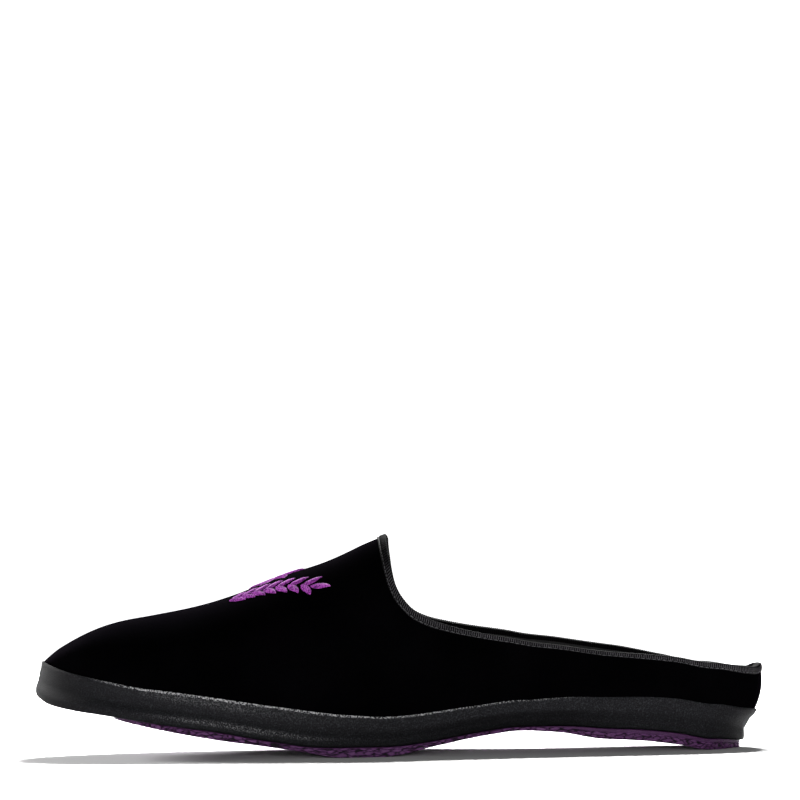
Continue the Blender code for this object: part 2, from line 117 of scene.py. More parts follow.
PLAN = (
    # along, lateral, medial, ridge
    (0.00, 0.517, 0.482, 1.00),
    (0.12, 0.517, 0.482, 0.81),
    (0.29, 0.517, 0.497, 0.44),
    (0.38, 0.517, 0.487, 0.31),
    (0.46, 0.523, 0.443, 0.25),
    (0.54, 0.539, 0.409, 0.19),
    (0.65, 0.536, 0.415, 0.12),
    (0.75, 0.543, 0.474, 0.00),
    (0.86, 0.519, 0.501, 0.00),
    (1.00, 0.516, 0.506, 0.00),
)
RIDGE = (
    # along from the upper's toe, rise
    (0.000, 0.000),
    (0.003, 0.018),
    (0.006, 0.033),
    (0.012, 0.063),
    (0.020, 0.100),
    (0.030, 0.139),
    (0.045, 0.192),
    (0.065, 0.252),
    (0.090, 0.312),
    (0.120, 0.367),
    (0.155, 0.415),
    (0.190, 0.459),
    (0.225, 0.512),
    (0.260, 0.577),
    (0.300, 0.665),
    (0.340, 0.749),
    (0.380, 0.824),
    (0.420, 0.910),
    (0.445, 0.966),
    (0.472, 1.013),
    (0.560, 1.110),
    (0.700, 1.180),
    (1.000, 1.200),
)
TOPLINE = (
    # along, height
    (0.4815, 1.013),
    (0.4828, 0.949),
    (0.4852, 0.863),
    (0.4876, 0.778),
    (0.4925, 0.662),
    (0.4985, 0.585),
    (0.5080, 0.508),
    (0.5200, 0.436),
    (0.5400, 0.362),
    (0.5670, 0.294),
    (0.6000, 0.228),
    (0.6470, 0.150),
    (0.7000, 0.089),
    (0.7680, 0.034),
    (0.8500, 0.005),
    (0.9200, 0.000),
    (0.9620, 0.003),
    (1.0000, 0.016),
)
MEDIAL_BUMP = (
    # along, rise of the medial rim over the lateral one
    (0.50, 0.00),
    (0.58, 0.71),
    (0.65, 0.97),
    (0.75, 1.00),
    (0.80, 0.81),
    (0.83, 0.52),
    (0.86, 0.20),
    (0.90, 0.00),
    (1.00, 0.00),
)
RIBBON_WIDTH = (
    # along, width on the velvet
    (0.480, 0.0034),
    (0.520, 0.0030),
    (0.556, 0.0024),
    (0.611, 0.0018),
    (0.666, 0.0015),
    (0.720, 0.0013),
    (0.780, 0.0014),
    (0.830, 0.0016),
    (0.890, 0.0018),
    (0.940, 0.0022),
    (1.000, 0.0028),
)


def monotone(rows, column, at):
    """Reads one column of a table at any place, on a smooth curve that never overshoots its rows."""
    xs = np.array([row[0] for row in rows])
    ys = np.array([row[column] for row in rows])
    at = np.clip(np.asarray(at, dtype=float), xs[0], xs[-1])
    step = np.diff(xs)
    slope = np.diff(ys) / step
    tangent = np.zeros(len(xs))
    tangent[0], tangent[-1] = slope[0], slope[-1]
    for i in range(1, len(xs) - 1):
        if slope[i - 1] * slope[i] > 0:
            before = 2 * step[i] + step[i - 1]
            after = step[i] + 2 * step[i - 1]
            tangent[i] = (before + after) / (before / slope[i - 1] + after / slope[i])
    i = np.clip(np.searchsorted(xs, at, side="right") - 1, 0, len(step) - 1)
    t = (at - xs[i]) / step[i]
    return (
        ys[i] * (1 + 2 * t) * (1 - t) ** 2
        + tangent[i] * step[i] * t * (1 - t) ** 2
        + ys[i + 1] * t * t * (3 - 2 * t)
        + tangent[i + 1] * step[i] * t * t * (t - 1)
    )


def ease(t):
    t = np.clip(t, 0.0, 1.0)
    return t * t * (3 - 2 * t)


def share(x):
    return x / LENGTH + 0.5


def place(along):
    return (along - 0.5) * LENGTH


def tread_height(x):
    rise = np.where(share(x) < BALL_REAR, TOE_SPRING, ARCH_RISE)
    return monotone(SOLE, 1, share(x)) * rise


def band_foot(x):
    return tread_height(x) + monotone(SOLE, 2, share(x)) * OUTSOLE_THICKNESS + GAP


def band_top(x):
    return band_foot(x) + monotone(SOLE, 3, share(x)) * BAND_HEIGHT


TOE = place(TOE_SETBACK)
HEEL = place(1 - HEEL_SETBACK)
HEEL_CENTRE = HEEL - HEEL_CAP * LENGTH
NORMAL_STEP = LENGTH * 0.0005  # reach on either side of a point for its direction


def heel_part(along):
    """0 along the quarters, 1 round the back of the heel."""
    start, end = HEEL_SWELL
    return ease((along - start) / (end - start))


def cap(t):
    t = np.clip(t, 0.0, 1.0)
    return (1 - (1 - t) ** CAP_POWER) ** (1 / CAP_POWER)


def ridge_line(x):
    return monotone(PLAN, 3, share(x)) * RIDGE_SWAY


def outline(x, side):
    along = share(x)
    blend = ease((along - WIDTH_BLEND[0]) / (WIDTH_BLEND[1] - WIDTH_BLEND[0]))
    width = BALL_WIDTH + (HEEL_WIDTH - BALL_WIDTH) * blend
    reach = monotone(PLAN, 1 if side < 0 else 2, along) * width
    closing = cap((x - TOE) / (TOE_CAP * LENGTH)) * cap((HEEL - x) / (HEEL_CAP * LENGTH))
    return ridge_line(x) + side * reach * closing


def run_length(points):
    return np.concatenate([[0], np.cumsum(np.linalg.norm(np.diff(points, axis=0), axis=1))])


def even_stations(count):
    turn = np.linspace(0, np.pi, 4001)
    x = TOE + (HEEL - TOE) * (1 - np.cos(turn)) / 2
    run = run_length(np.stack([x, outline(x, -1)], axis=1))
    return np.interp(np.linspace(0, run[-1], count + 1), run, x)


def outline_normal(x, side):
    if x <= TOE:
        return np.array([-1.0, 0.0])
    if x >= HEEL:
        return np.array([1.0, 0.0])
    ahead = min(HEEL, x + NORMAL_STEP)
    behind = max(TOE, x - NORMAL_STEP)
    along = np.array([ahead - behind, float(outline(ahead, side) - outline(behind, side))])
    along /= np.hypot(*along)
    return np.array([along[1], -along[0]]) * (1.0 if side < 0 else -1.0)


def ridge_rise(x):
    rows = [(np.sqrt(along), rise) for along, rise in RIDGE]
    along = np.clip((x - TOE) / LENGTH, 0, 1)
    return VAMP_RISE * monotone(rows, 1, np.sqrt(along))


def fullness(x):
    vamp = TOE_FULLNESS + (INSTEP_FULLNESS - TOE_FULLNESS) * ease(share(x) / TOPLINE[0][0])
    return TIP_FULLNESS + (vamp - TIP_FULLNESS) * ease((x - TOE) / (TIP_REACH * LENGTH))


def arch_height(x, across):
    flank = np.clip(1 - np.clip(across, 0, 1) ** ARCH_POWER, 0, 1)
    return band_top(x) + ridge_rise(x) * flank ** (1 / fullness(x))


def arch_across(x, height):
    part = np.clip((height - band_top(x)) / ridge_rise(x), 0, 1)
    return (1 - part ** fullness(x)) ** (1 / ARCH_POWER)


def rim_height(x, side):
    along = share(x)
    rise = QUARTER_RISE + (VAMP_RISE - QUARTER_RISE) * monotone(TOPLINE, 1, along)
    extra = MEDIAL_RISE * monotone(MEDIAL_BUMP, 1, along) if side > 0 else 0.0
    back = (HEEL - x) / (HEEL_PEAK_REACH * HEEL_WIDTH)
    return band_top(x) + rise + extra + HEEL_PEAK * np.exp(-(back**2))


def throat_curve(side):
    row = np.linspace(0, 1, 900) ** 2 * (len(TOPLINE) - 1)
    index = [(i,) + TOPLINE[i] for i in range(len(TOPLINE))]
    x = place(monotone(index, 1, row))
    x = x[x <= place(FAN_END)]
    row = row[: len(x)]
    height = band_top(x) + QUARTER_RISE + (VAMP_RISE - QUARTER_RISE) * monotone(index, 2, row)
    if side > 0:
        height = height + MEDIAL_RISE * monotone(MEDIAL_BUMP, 1, share(x))
    across = arch_across(x, height)
    across[share(x) <= TOPLINE[0][0]] = 0.0
    y = ridge_line(x) + across * (outline(x, side) - ridge_line(x))
    return np.stack([x, y, height], axis=1)


def fan_of(side):
    """Foot line and throat line of one side, each with its run, for pairing ribs."""
    turn = np.linspace(0, np.pi, 2001)
    x = TOE + (place(FAN_END) - TOE) * (1 - np.cos(turn)) / 2
    rim = throat_curve(side)
    return x, run_length(np.stack([x, outline(x, side)], axis=1)), rim, run_length(rim)


FANS = {side: fan_of(side) for side in (-1, 1)}


def rib_path(x, side, count=260):
    """Outer face of the upper along one rib, from the band to the rim."""
    foot = np.array([x, float(outline(x, side))])
    step = np.linspace(0, 1, count)
    if x < place(FAN_END):
        foot_x, foot_run, rim, rim_run = FANS[side]
        part = np.interp(x, foot_x, foot_run) / foot_run[-1]
        part = FAN_EVEN * part + (1 - FAN_EVEN) * part**3
        end = np.array([np.interp(part * rim_run[-1], rim_run, rim[:, i]) for i in range(2)])
        plan = foot + (end - foot) * (step**3)[:, None]
        across = np.zeros(count)
        if x > TOE:
            ridge = ridge_line(plan[1:, 0])
            across[1:] = (plan[1:, 1] - ridge) / (outline(plan[1:, 0], side) - ridge)
        height = arch_height(plan[:, 0], across)
        height[0] = band_top(x)
        return np.column_stack([plan, height])
    middle = min(x, HEEL_CENTRE)
    centre = np.array([middle, float(ridge_line(middle))])
    height = band_top(x) + (float(rim_height(x, side)) - band_top(x)) * step
    part = np.clip((height - band_top(x)) / ridge_rise(middle), 0, 1)
    across = (1 - part ** fullness(x)) ** (1 / ARCH_POWER)
    plan = centre + (foot - centre) * across[:, None]
    quarters, heel = SWELL_SHARES
    lean = HEEL_LEAN * (quarters * ease((share(x) - FAN_END) / QUARTER_BLEND) + heel * heel_part(share(x)))
    rise = np.clip((height - height[0]) / QUARTER_RISE, 0, 1)
    plan = plan + outline_normal(x, side) * (lean * rise * (2 - rise))[:, None]
    return np.column_stack([plan, height])


def upper_grid(loop, levels):
    """Outer face in rings: the foot inside the band, the band's edge and so on up to the rim."""
    rows = []
    for x, side in loop:
        path = rib_path(x, side)
        run = run_length(path)
        below = run[-1] - float(monotone(RIBBON_WIDTH, 1, share(path[-1, 0])))
        marks = np.append(below * np.linspace(0, 1, levels + 1) ** LEVEL_SPREAD, run[-1])
        rib = np.column_stack([np.interp(marks, run, path[:, i]) for i in range(3)])
        depth = rib[0, 2] - (band_foot(x) + FLOOR + GAP)
        slope = SKIRT_SLOPE[0] + (SKIRT_SLOPE[1] - SKIRT_SLOPE[0]) * heel_part(share(x))
        foot = rib[0].copy()
        foot[:2] -= outline_normal(x, side) * slope * depth
        foot[2] = band_foot(foot[0]) + FLOOR + GAP
        rows.append(np.vstack([foot, rib]))
    return np.array(rows).transpose(1, 0, 2)


def grid_normals(grid):
    round_way = np.roll(grid, -1, axis=1) - np.roll(grid, 1, axis=1)
    normal = np.cross(round_way, np.gradient(grid, axis=0))
    return normal / np.linalg.norm(normal, axis=2, keepdims=True)


stations = even_stations(RIBS)
LOOP = [(x, -1) for x in stations] + [(x, 1) for x in stations[-2:0:-1]]
STATION = np.array([x for x, _ in LOOP])
SIDE = np.array([side for _, side in LOOP])
PLAN_NORMAL = np.array([outline_normal(x, side) for x, side in LOOP])
OUTER = upper_grid(LOOP, LEVELS)
NORMAL = grid_normals(OUTER)


def beside(ring, distance):
    moved = ring.copy()
    moved[:, :2] += PLAN_NORMAL * np.reshape(distance, (-1, 1))
    return moved


def shift_to_frame(low, high, node):
    """Level shift that brings a box worked out here over the box of a node in the frame."""
    cad_low, cad_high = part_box(node)
    middle = [(cad_low[i] + cad_high[i]) / 2 - (low[i] + high[i]) / 2 for i in range(2)]
    return Vector((middle[0], middle[1], 0.0))


SHIFT = shift_to_frame(OUTER.min(axis=(0, 1)), OUTER.max(axis=(0, 1)), "upper")


class Wire:
    """An output socket in a node tree; arithmetic on it adds Math nodes."""

    def __init__(self, tree, socket):
        self.tree = tree
        self.socket = socket

    def other(self, name):
        return Wire(self.tree, self.socket.node.outputs[name])

    def maths(self, operation, other, flip=False):
        node = self.tree.nodes.new("ShaderNodeMath")
        node.operation = operation
        for slot, end in zip(node.inputs, (other, self) if flip else (self, other)):
            if isinstance(end, Wire):
                self.tree.links.new(end.socket, slot)
            else:
                slot.default_value = end
        return Wire(self.tree, node.outputs[0])

    def __add__(self, other):
        return self.maths("ADD", other)

    def __sub__(self, other):
        return self.maths("SUBTRACT", other)

    def __rsub__(self, other):
        return self.maths("SUBTRACT", other, flip=True)

    def __mul__(self, other):
        return self.maths("MULTIPLY", other)

    __radd__ = __add__
    __rmul__ = __mul__


class Graph:
    """A node tree with one way to add a node: its type, its settings, then values or wires for its sockets."""

    def __init__(self, tree):
        self.tree = tree

    def feed(self, socket, value):
        if isinstance(value, Wire):
            self.tree.links.new(value.socket, socket)
        else:
            socket.default_value = value

    def node(self, kind, settings=None, sockets=None, out=0):
        made = self.tree.nodes.new(kind)
        for key, value in (settings or {}).items():
            setattr(made, key, value)
        for key, value in (sockets or {}).items():
            self.feed(made.inputs[key], value)
        return Wire(self.tree, made.outputs[out])


class Finish(Graph):
    """A material of one Principled shader and the nodes that feed it."""

    def __init__(self, name):
        self.material = bpy.data.materials.new(name)
        self.material.use_nodes = True
        super().__init__(self.material.node_tree)
        self.shader = self.tree.nodes["Principled BSDF"]
        self.place = self.node("ShaderNodeTexCoord", out="Object")

    def attribute(self, name):
        return self.node("ShaderNodeAttribute", {"attribute_name": name}, out="Fac")

    def noise(self, scale, detail, **more):
        return self.node("ShaderNodeTexNoise", {}, {"Vector": self.place, "Scale": scale, "Detail": detail, **more})

    def cells(self, scale, feature="F1"):
        return self.node("ShaderNodeTexVoronoi", {"feature": feature}, {"Vector": self.place, "Scale": scale})

    def ramp(self, value, stops):
        """Colour between stops of position and colour."""
        out = self.node("ShaderNodeValToRGB", {}, {"Fac": value})
        ramp = out.socket.node.color_ramp
        while len(ramp.elements) < len(stops):
            ramp.elements.new(0.5)
        for element, (position, colour) in zip(ramp.elements, stops):
            element.position = position
            element.color = (*colour, 1.0)
        return out

    def mix(self, factor, low, high):
        sockets = {0: factor, 6: low, 7: high}
        return self.node("ShaderNodeMix", {"data_type": "RGBA"}, sockets, out=2)

    def bump(self, height, distance, strength=1.0, under=None):
        sockets = {"Height": height, "Distance": distance, "Strength": strength}
        if under:
            sockets["Normal"] = under
        return self.node("ShaderNodeBump", {}, sockets)

    def surface(self, **sockets):
        for key, value in sockets.items():
            self.feed(self.shader.inputs[key.replace("_", " ")], value)
        return self.material


def velvet():
    """Dense black pile: almost no light comes back but a thin sheen where the pile is seen edge on."""
    finish = Finish("black_velvet")
    crushed = finish.noise(38.0, 3.0)
    pile = finish.noise(2600.0, 2.0)
    black, charcoal = (0.0003, 0.0003, 0.0004), (0.0010, 0.0009, 0.0012)
    tone = finish.ramp(crushed * 0.7 + pile * 0.3, [(0.35, black), (0.75, charcoal)])
    normal = finish.bump(pile, 0.00012, 0.6, finish.bump(crushed, 0.0006, 0.25))
    finish.shader.inputs["Sheen Tint"].default_value = (0.70, 0.58, 0.80, 1.0)
    return finish.surface(
        Base_Color=tone,
        Roughness=1.0,
        Specular_IOR_Level=0.0,
        Sheen_Weight=0.009,
        Sheen_Roughness=0.28,
        Normal=normal,
    )


def lining_leather():
    """Thin black lining leather with a fine grain."""
    finish = Finish("lining_leather")
    grain = finish.cells(900.0)
    fold = finish.noise(60.0, 4.0)
    dark, light = (0.0015, 0.0015, 0.0017), (0.0050, 0.0049, 0.0053)
    tone = finish.ramp(grain * 0.5 + fold * 0.5, [(0.2, dark), (0.7, light)])
    normal = finish.bump(grain, 0.00010, 0.7, finish.bump(fold, 0.0004, 0.3))
    return finish.surface(Base_Color=tone, Roughness=fold * 0.25 + 0.45, Specular_IOR_Level=0.15, Normal=normal)


def in_scene(name, data):
    made = bpy.data.objects.new(name, data)
    bpy.context.scene.collection.objects.link(made)
    return made


def add_piece(name, points, faces, materials, choice=None, marks=None):
    """A closed mesh at its place in the frame, faces out and smooth; marks are values kept on its points."""
    mesh = bpy.data.meshes.new(name)
    mesh.from_pydata(np.asarray(points).tolist(), [], faces)
    for finish in materials:
        mesh.materials.append(finish)
    if choice is not None:
        mesh.polygons.foreach_set("material_index", choice)
    for key, values in (marks or {}).items():
        mesh.attributes.new(key, "FLOAT", "POINT").data.foreach_set("value", values)
    mesh.transform(Matrix.Translation(SHIFT))
    bm = bmesh.new()
    bm.from_mesh(mesh)
    bmesh.ops.recalc_face_normals(bm, faces=bm.faces)
    bm.to_mesh(mesh)
    bm.free()
    mesh.shade_smooth()
    return in_scene(name, mesh)


def tube_faces(rings, count, closed=False):
    """Faces between neighbouring rings of equal count; closed joins the last ring to the first."""
    faces = []
    for r in range(rings if closed else rings - 1):
        low, high = r * count, (r + 1) % rings * count
        faces += [(low + i, low + (i + 1) % count, high + (i + 1) % count, high + i) for i in range(count)]
    return faces


inner = OUTER - NORMAL * UPPER_WALL
inner[0] = beside(OUTER[0], -UPPER_WALL)
inner[1] = beside(OUTER[1], -UPPER_WALL)
shell = np.concatenate([OUTER, inner[::-1]])
shell_faces = tube_faces(len(shell), len(LOOP), closed=True)
inside = [0 if f // len(LOOP) < len(OUTER) - 1 else 1 for f in range(len(shell_faces))]
upper = add_piece("velvet_upper", shell.reshape(-1, 3), shell_faces, [velvet(), lining_leather()], inside)
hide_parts("upper")
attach(upper, "root")

# Embroidery: a flower and two leafy sprays in purple satin stitch on top of the vamp, sewn through the
# velvet. Every petal and leaf is filled with slanted threads laid side by side.
THREAD_PITCH = 0.00055
THREAD_RADIUS = 0.00027
THREAD_ARCH = 0.00055  # the threads stand highest over the middle of a leaf
THREAD_SINK = 0.0001  # their ends go into the pile
THREAD_SLANT = 0.0009
THREAD_POINTS = 7  # along one thread
THREAD_ROUND = 0.6  # how round a thread's arch is, less is fuller
NARROW_HALF = 0.001  # a leaf narrower than twice this rises less
FLOWER = -0.0475  # centre of the flower along the shoe
FLOWER_HEART = 0.0034  # length and width of its middle
PETALS = 7
PETAL = (0.0021, 0.0088, 0.0046)  # start from the centre, length, width
LEAF = (0.0070, 0.0028)  # length, width
LEAF_FORM = (0.85, 0.75)  # where a leaf is widest, how full it is
LEAF_TURN = 0.75  # angle between a leaf and its stem
SPRAY = ((-0.0665, 0.0165), (-0.0520, 0.0160), (-0.0335, 0.0260))  # place along, distance from the ridge
SPRAY_PAIRS = 7
SPRAY_START = 0.3  # place of the first pair, in steps between pairs
VAMP_RANGE = (-0.080, -0.018)
VAMP_REACH = 0.038
VAMP_GRID = (64, 77)


def vamp_map():
    """Velvet face and outward directions over the vamp, in rows along the shoe and signed distance from the ridge."""
    rows = np.linspace(*VAMP_RANGE, VAMP_GRID[0])
    down = np.linspace(-VAMP_REACH, VAMP_REACH, VAMP_GRID[1])
    face = np.zeros((len(rows), len(down), 3))
    across = np.linspace(0, 1, 300)
    for i, x in enumerate(rows):
        for side in (-1, 1):
            y = ridge_line(x) + across * (outline(x, side) - ridge_line(x))
            section = np.column_stack([np.full(len(across), x), y, arch_height(x, across)])
            run = run_length(section)
            pick = down * side >= 0
            for axis in range(3):
                face[i, pick, axis] = np.interp(np.abs(down[pick]), run, section[:, axis])
    out = np.cross(np.gradient(face, axis=0), np.gradient(face, axis=1))
    return rows, down, face, out / np.linalg.norm(out, axis=2, keepdims=True)


VAMP = vamp_map()


def on_vamp(spot, lift):
    """Point over the velvet at a place along the shoe and a signed distance from the ridge."""
    rows, down, face, out = VAMP
    i = np.clip((spot[0] - rows[0]) / (rows[1] - rows[0]), 0, len(rows) - 1.001)
    j = np.clip((spot[1] - down[0]) / (down[1] - down[0]), 0, len(down) - 1.001)
    a, b = int(i), int(j)
    s, t = i - a, j - b
    weights = ((1 - s) * (1 - t), (1 - s) * t, s * (1 - t), s * t)
    corners = ((a, b), (a, b + 1), (a + 1, b), (a + 1, b + 1))
    point = sum(weight * face[corner] for weight, corner in zip(weights, corners))
    normal = sum(weight * out[corner] for weight, corner in zip(weights, corners))
    return point + normal / np.linalg.norm(normal) * lift


def satin_leaf(base, angle, length, width):
    """Threads of one leaf: they run from edge to edge, a little slanted, over its swelling middle."""
    axis = np.array([math.cos(angle), math.sin(angle)])
    cross = np.array([-axis[1], axis[0]])
    count = max(4, round(length / THREAD_PITCH))
    threads = []
    for k in range(count):
        part = (k + 0.5) / count
        half = width / 2 * math.sin(math.pi * part ** LEAF_FORM[0]) ** LEAF_FORM[1]
        rise = THREAD_ARCH * min(1, half / NARROW_HALF)
        middle = np.asarray(base) + axis * length * part
        path = []
        for step in np.linspace(-1, 1, THREAD_POINTS):
            spot = middle + cross * half * step + axis * THREAD_SLANT * step
            path.append(on_vamp(spot, rise * (1 - step**2) ** THREAD_ROUND - THREAD_SINK))
        threads.append(path)
    return threads


def spray_leaves(side):
    """Bases and directions of the leaves along a curved spray on one side of the ridge."""
    a, b, c = (np.array([along, side * off]) for along, off in SPRAY)
    leaves = []
    for k in range(SPRAY_PAIRS):
        t = (k + SPRAY_START) / SPRAY_PAIRS
        spot = a * (1 - t) ** 2 + b * 2 * t * (1 - t) + c * t**2
        run = (b - a) * (1 - t) + (c - b) * t
        heading = math.atan2(run[1], run[0])
        leaves += [(spot, heading + LEAF_TURN), (spot, heading - LEAF_TURN)]
    return leaves + [(c, heading)]


def growth_tree(name, numbers):
    """New Geometry Nodes tree: a curve and named numbers go in, a mesh comes out."""
    tree = bpy.data.node_groups.new(name, "GeometryNodeTree")
    tree.interface.new_socket("Geometry", in_out="INPUT", socket_type="NodeSocketGeometry")
    for number in numbers:
        tree.interface.new_socket(number, in_out="INPUT", socket_type="NodeSocketFloat")
    tree.interface.new_socket("Geometry", in_out="OUTPUT", socket_type="NodeSocketGeometry")
    graph = Graph(tree)
    return graph, graph.node("NodeGroupInput")


def grown(graph, mesh, finish):
    """Ends a tree: its mesh is made real and gets its material."""
    real = graph.node("GeometryNodeRealizeInstances", {}, {"Geometry": mesh})
    coat = graph.node("GeometryNodeSetMaterial", {}, {"Geometry": real, "Material": finish})
    graph.feed(graph.tree.nodes.new("NodeGroupOutput").inputs[0], coat)
    return graph.tree


def laid_threads(finish):
    """Geometry Nodes: round threads along curves."""
    graph, source = growth_tree("laid_threads", ("Radius",))
    profile = graph.node("GeometryNodeCurvePrimitiveCircle", {}, {"Resolution": 6, "Radius": source.other("Radius")})
    sockets = {"Curve": source.other("Geometry"), "Profile Curve": profile, "Fill Caps": True}
    return grown(graph, graph.node("GeometryNodeCurveToMesh", {}, sockets), finish)


def grow(name, paths, closed, tree, values):
    """Runs a Geometry Nodes tree over paths and keeps the result as a plain mesh."""
    line = bpy.data.curves.new(name + "_line", "CURVE")
    line.dimensions = "3D"
    for path in paths:
        spline = line.splines.new("POLY")
        spline.points.add(len(path) - 1)
        spline.use_cyclic_u = closed
        for point, spot in zip(spline.points, path):
            point.co = (*(Vector(spot) + SHIFT), 1.0)
    guide = in_scene(name + "_guide", line)
    modifier = guide.modifiers.new("growth", "NODES")
    modifier.node_group = tree
    for item in tree.interface.items_tree:
        if item.name in values:
            modifier[item.identifier] = values[item.name]
    mesh = bpy.data.meshes.new_from_object(guide.evaluated_get(bpy.context.evaluated_depsgraph_get()))
    mesh.name = name
    mesh.shade_smooth()
    guide.modifiers.remove(modifier)
    bpy.data.objects.remove(guide, do_unlink=True)
    return in_scene(name, mesh)


def satin_thread(name, dark, light):
    """Twisted thread: fine strands, lighter and darker by turns."""
    finish = Finish(name)
    strand = finish.noise(1900.0, 3.0)
    tone = finish.ramp(strand, [(0.36, dark), (0.62, light)])
    normal = finish.bump(strand, 0.00010, 0.8)
    return finish.surface(Base_Color=tone, Roughness=strand * 0.2 + 0.45, Specular_IOR_Level=0.02, Normal=normal)


threads = []
start, length, width = PETAL
for k in range(PETALS):
    angle = 2 * math.pi * (k + 0.5) / PETALS
    base = (FLOWER + start * math.cos(angle), start * math.sin(angle))
    threads += satin_leaf(base, angle, length, width)
threads += satin_leaf((FLOWER - FLOWER_HEART / 2, 0.0), 0.0, FLOWER_HEART, FLOWER_HEART)
for side in (-1, 1):
    for base, angle in spray_leaves(side):
        threads += satin_leaf(base, angle, *LEAF)
purple_thread = satin_thread("purple_satin_thread", (0.040, 0.004, 0.062), (0.430, 0.080, 0.470))
embroidery = grow("satin_embroidery", threads, False, laid_threads(purple_thread), {"Radius": THREAD_RADIUS})
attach(embroidery, "root")

# Collar binding: a black ribbon with ribs across it, folded over the rim and sewn down through the wall
# with one row of stitches between its ribs and its corded edge. It is wider at the throat than behind it.
RIBBON_NEAR = 0.00008
RIBBON_THICKNESS = 0.00045
RIB_PITCH = (0.00085, 0.00135)  # along the sides, round the throat
PITCH_CHANGE = (0.030, 0.025)  # how far from the throat's middle it starts, over what run
RIB_DEPTH = 0.00020
RIB_STEPS = 6
CROWN_RISE = 0.95  # height of the fold over the rim, in thicknesses
FOLD = (15, 165, 8)  # first and last angle of the fold, and its rings
# Painted shade: the fold over the rim and the inside leg are painted darker than the outer ribs.
CROWN_SHADE = 0.12
INNER_SHADE = 0.40
THROAT_SHADE = 0.15  # painted shade: the ribbon is painted darker on top of the throat
SHADE_CHANGE = (0.012, 0.022)
STITCH_PITCH = 0.0021
STITCH_HALF = 0.00085
STITCH_RADIUS = 0.00016
SEAM = (0.795, 0.00022)  # place down the ribbon, how far the stitches sink in


def resample_loop(values, run, marks):
    closed = np.vstack([values, values[:1]])
    return np.column_stack([np.interp(marks, run, closed[:, i]) for i in range(3)])


rim, below = OUTER[-1], OUTER[-2]
collar_run = run_length(np.vstack([rim, rim[:1]]))


def changed(run, change):
    """0 at the middle of the throat, 1 further along the rim than a change's start and run."""
    from_throat = np.minimum(run, collar_run[-1] - run)
    return ease((from_throat - change[0]) / change[1])


dense_run = np.linspace(0, collar_run[-1], 4001)
pitch = RIB_PITCH[1] + (RIB_PITCH[0] - RIB_PITCH[1]) * changed(dense_run, PITCH_CHANGE)
ribs_passed = np.concatenate([[0], np.cumsum(np.diff(dense_run) / pitch[1:])])
rib_count = round(ribs_passed[-1])
part_passed = np.linspace(0, ribs_passed[-1], rib_count * RIB_STEPS, endpoint=False)
marks = np.interp(part_passed, ribs_passed, dense_run)
rim = resample_loop(rim, collar_run, marks)
below = resample_loop(below, collar_run, marks)
rim_out = resample_loop(NORMAL[-1], collar_run, marks)
below_out = resample_loop(NORMAL[-2], collar_run, marks)
up = rim - below
up /= np.linalg.norm(up, axis=1, keepdims=True)
wave = 0.5 + 0.5 * np.cos(2 * np.pi * np.arange(len(marks)) / RIB_STEPS)
beads = 0.5 + 0.5 * np.cos(2 * np.pi * (np.arange(len(marks)) / RIB_STEPS + 0.5))
near, far = RIBBON_NEAR, RIBBON_NEAR + RIBBON_THICKNESS


def ribbon_leg(depth, lift, relief):
    """Ring on a leg of the ribbon: depth is its share of the width below the rim, lift its height off the face."""
    face = rim + (below - rim) * depth
    out = rim_out + (below_out - rim_out) * depth
    return face + out * (lift + np.sign(lift) * RIB_DEPTH * np.reshape(relief, (-1, 1)))


flat = np.zeros(len(marks))
RIBBON_ROWS = (
    # depth, lift, relief of that row, its lightness: painted highlight on the rib crowns and the corded edge's beads
    (1.00, near, flat, flat),
    (1.00, far - 0.00025, flat, 0.1 * beads),
    (0.97, far - 0.00005, 0.5 * beads, 0.2 + 0.7 * beads),
    (0.91, far + 0.00002, 0.6 * beads, 0.3 + 0.7 * beads),
    (0.86, far - 0.00010, 0.4 * beads, 0.5 * beads),
    (0.83, far - 0.00025, flat, flat),
    (0.76, far - 0.00025, flat, flat),
    (0.73, far - 0.00010, 0.7 * wave, 0.8 * wave),
    (0.60, far, wave, wave),
    (0.35, far, wave, wave),
    (0.15, far, wave, wave),
    (0.02, far, wave, wave),
)
rings = [ribbon_leg(depth, lift, relief) for depth, lift, relief, _ in RIBBON_ROWS]
# Each ring's lightness goes into the crown mark and sets the ribbon's colour: painted highlight and painted shade.
light = [painted_lightness for *_, painted_lightness in RIBBON_ROWS]
# Painted shade: every ring's lightness is lowered on top of the throat.
painted_throat_shade = THROAT_SHADE + (1 - THROAT_SHADE) * changed(marks, SHADE_CHANGE)
crown = UPPER_WALL / 2 + far
# Fold over the rim, its rib crowns painted darker as shade.
for turn in np.radians(np.linspace(*FOLD)):
    reach = (crown + RIB_DEPTH * wave)[:, None] * math.cos(turn)
    lift = (far * CROWN_RISE + RIB_DEPTH * wave)[:, None] * math.sin(turn)
    rings.append(rim - rim_out * UPPER_WALL / 2 + rim_out * reach + up * lift)
    light.append(wave * CROWN_SHADE)
# Inside leg, painted darker as shade.
for depth, relief in ((0.04, wave), (0.5, wave), (0.93, wave)):
    rings.append(ribbon_leg(depth, -(UPPER_WALL + far), relief))
    light.append(wave * INNER_SHADE)
for depth, lift in ((1.0, far - 0.0002), (1.0, near), (0.0, near)):
    rings.append(ribbon_leg(depth, -(UPPER_WALL + lift), flat))
    light.append(flat)
rings[-1] = rings[-1] + up * near
rings.append(ribbon_leg(0.0, near, flat) + up * near)
light.append(flat)


